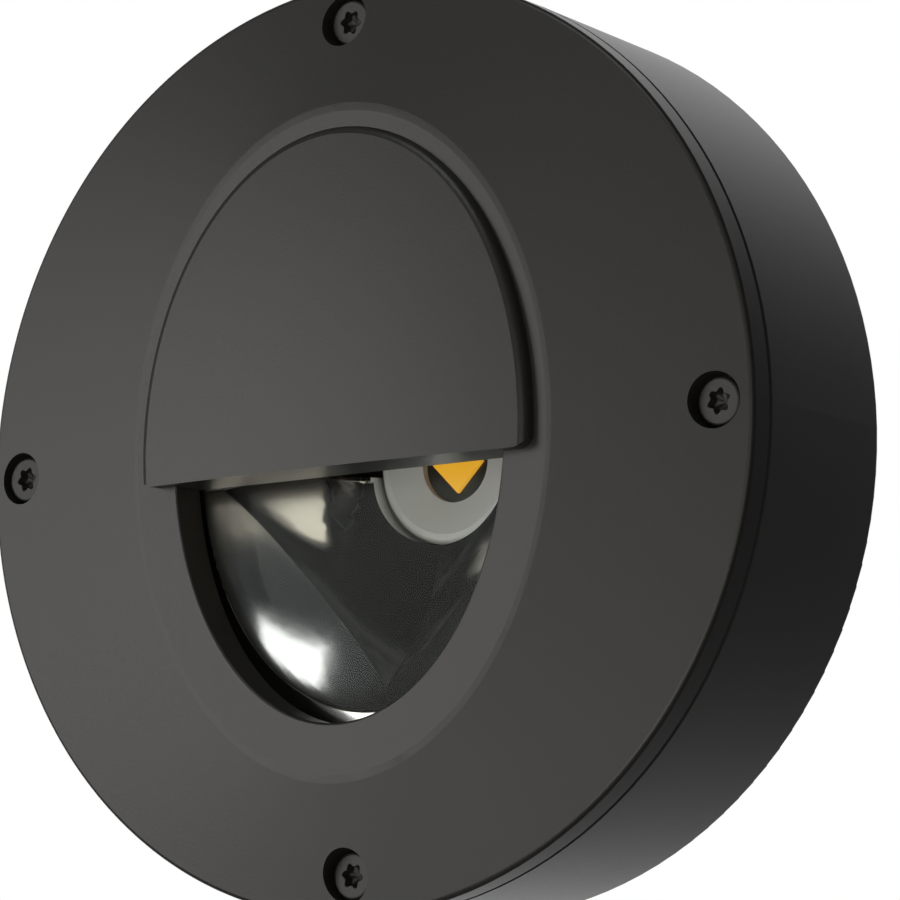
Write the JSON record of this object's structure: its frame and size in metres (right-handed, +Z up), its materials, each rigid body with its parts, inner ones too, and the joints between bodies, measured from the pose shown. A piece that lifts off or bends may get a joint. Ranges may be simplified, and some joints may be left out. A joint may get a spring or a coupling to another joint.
{
  "type": "hooded wall light",
  "caption": "Round surface wall light: cast cup housing, screwed cover with a hooded oval window, bright lobed reflector and a single LED that throws light downwards.",
  "frame": {"origin": "centre of the wall face", "axes": "+Z up, +Y into the wall, the light faces -Y, +X to the right seen from the front"},
  "size_m": [0.15, 0.0464, 0.15],
  "materials": {
    "powder_coat": "fine-textured charcoal powder coat on a cast body",
    "black_steel": "blackened steel",
    "seal_rubber": "matt black silicone",
    "clear_pane": "clear toughened glass",
    "zinc_steel": "zinc-plated steel",
    "bright_reflector": "vacuum-metallised, mirror bright",
    "white_holder": "white moulded plastic",
    "thermal_silicone": "grey thermal pad",
    "dark_board": "dark glossy solder mask",
    "phosphor": "yellow phosphor",
    "driver_white": "white moulded case",
    "block_grey": "light grey moulding",
    "brass_fittings": "plain brass",
    "wall_foam": "closed-cell foam",
    "lead_sheath": "silicone lead insulation"
  },
  "bodies": {
    "housing": {"wall_housing": "powder_coat", "cover_gasket": "seal_rubber", "cable_grommet": "seal_rubber", "reflector_screws": "zinc_steel", "holder_screws": "zinc_steel", "driver_screws": "zinc_steel", "block_screws": "zinc_steel", "reflector": "bright_reflector", "led_holder": "white_holder", "thermal_pad": "thermal_silicone", "led_board": "dark_board", "led_chip": "phosphor", "driver_case": "driver_white", "terminal_block": "block_grey", "terminal_screws": "brass_fittings", "earth_washer": "brass_fittings", "earth_screw": "brass_fittings", "wall_gasket": "wall_foam", "led_leads": "lead_sheath", "supply_leads": "lead_sheath"},
    "cover": {"front_cover": "powder_coat", "cover_screws": "black_steel", "screw_seals": "seal_rubber", "front_glass": "clear_pane", "glass_gasket": "seal_rubber", "glass_retainer": "zinc_steel", "retainer_screws": "zinc_steel"}
  },
  "joints": [
    {"name": "cover_lift", "type": "slide", "parent": "housing", "child": "cover", "axis": [0, -1, 0], "range_m": [0, 0.06]}
  ]
}
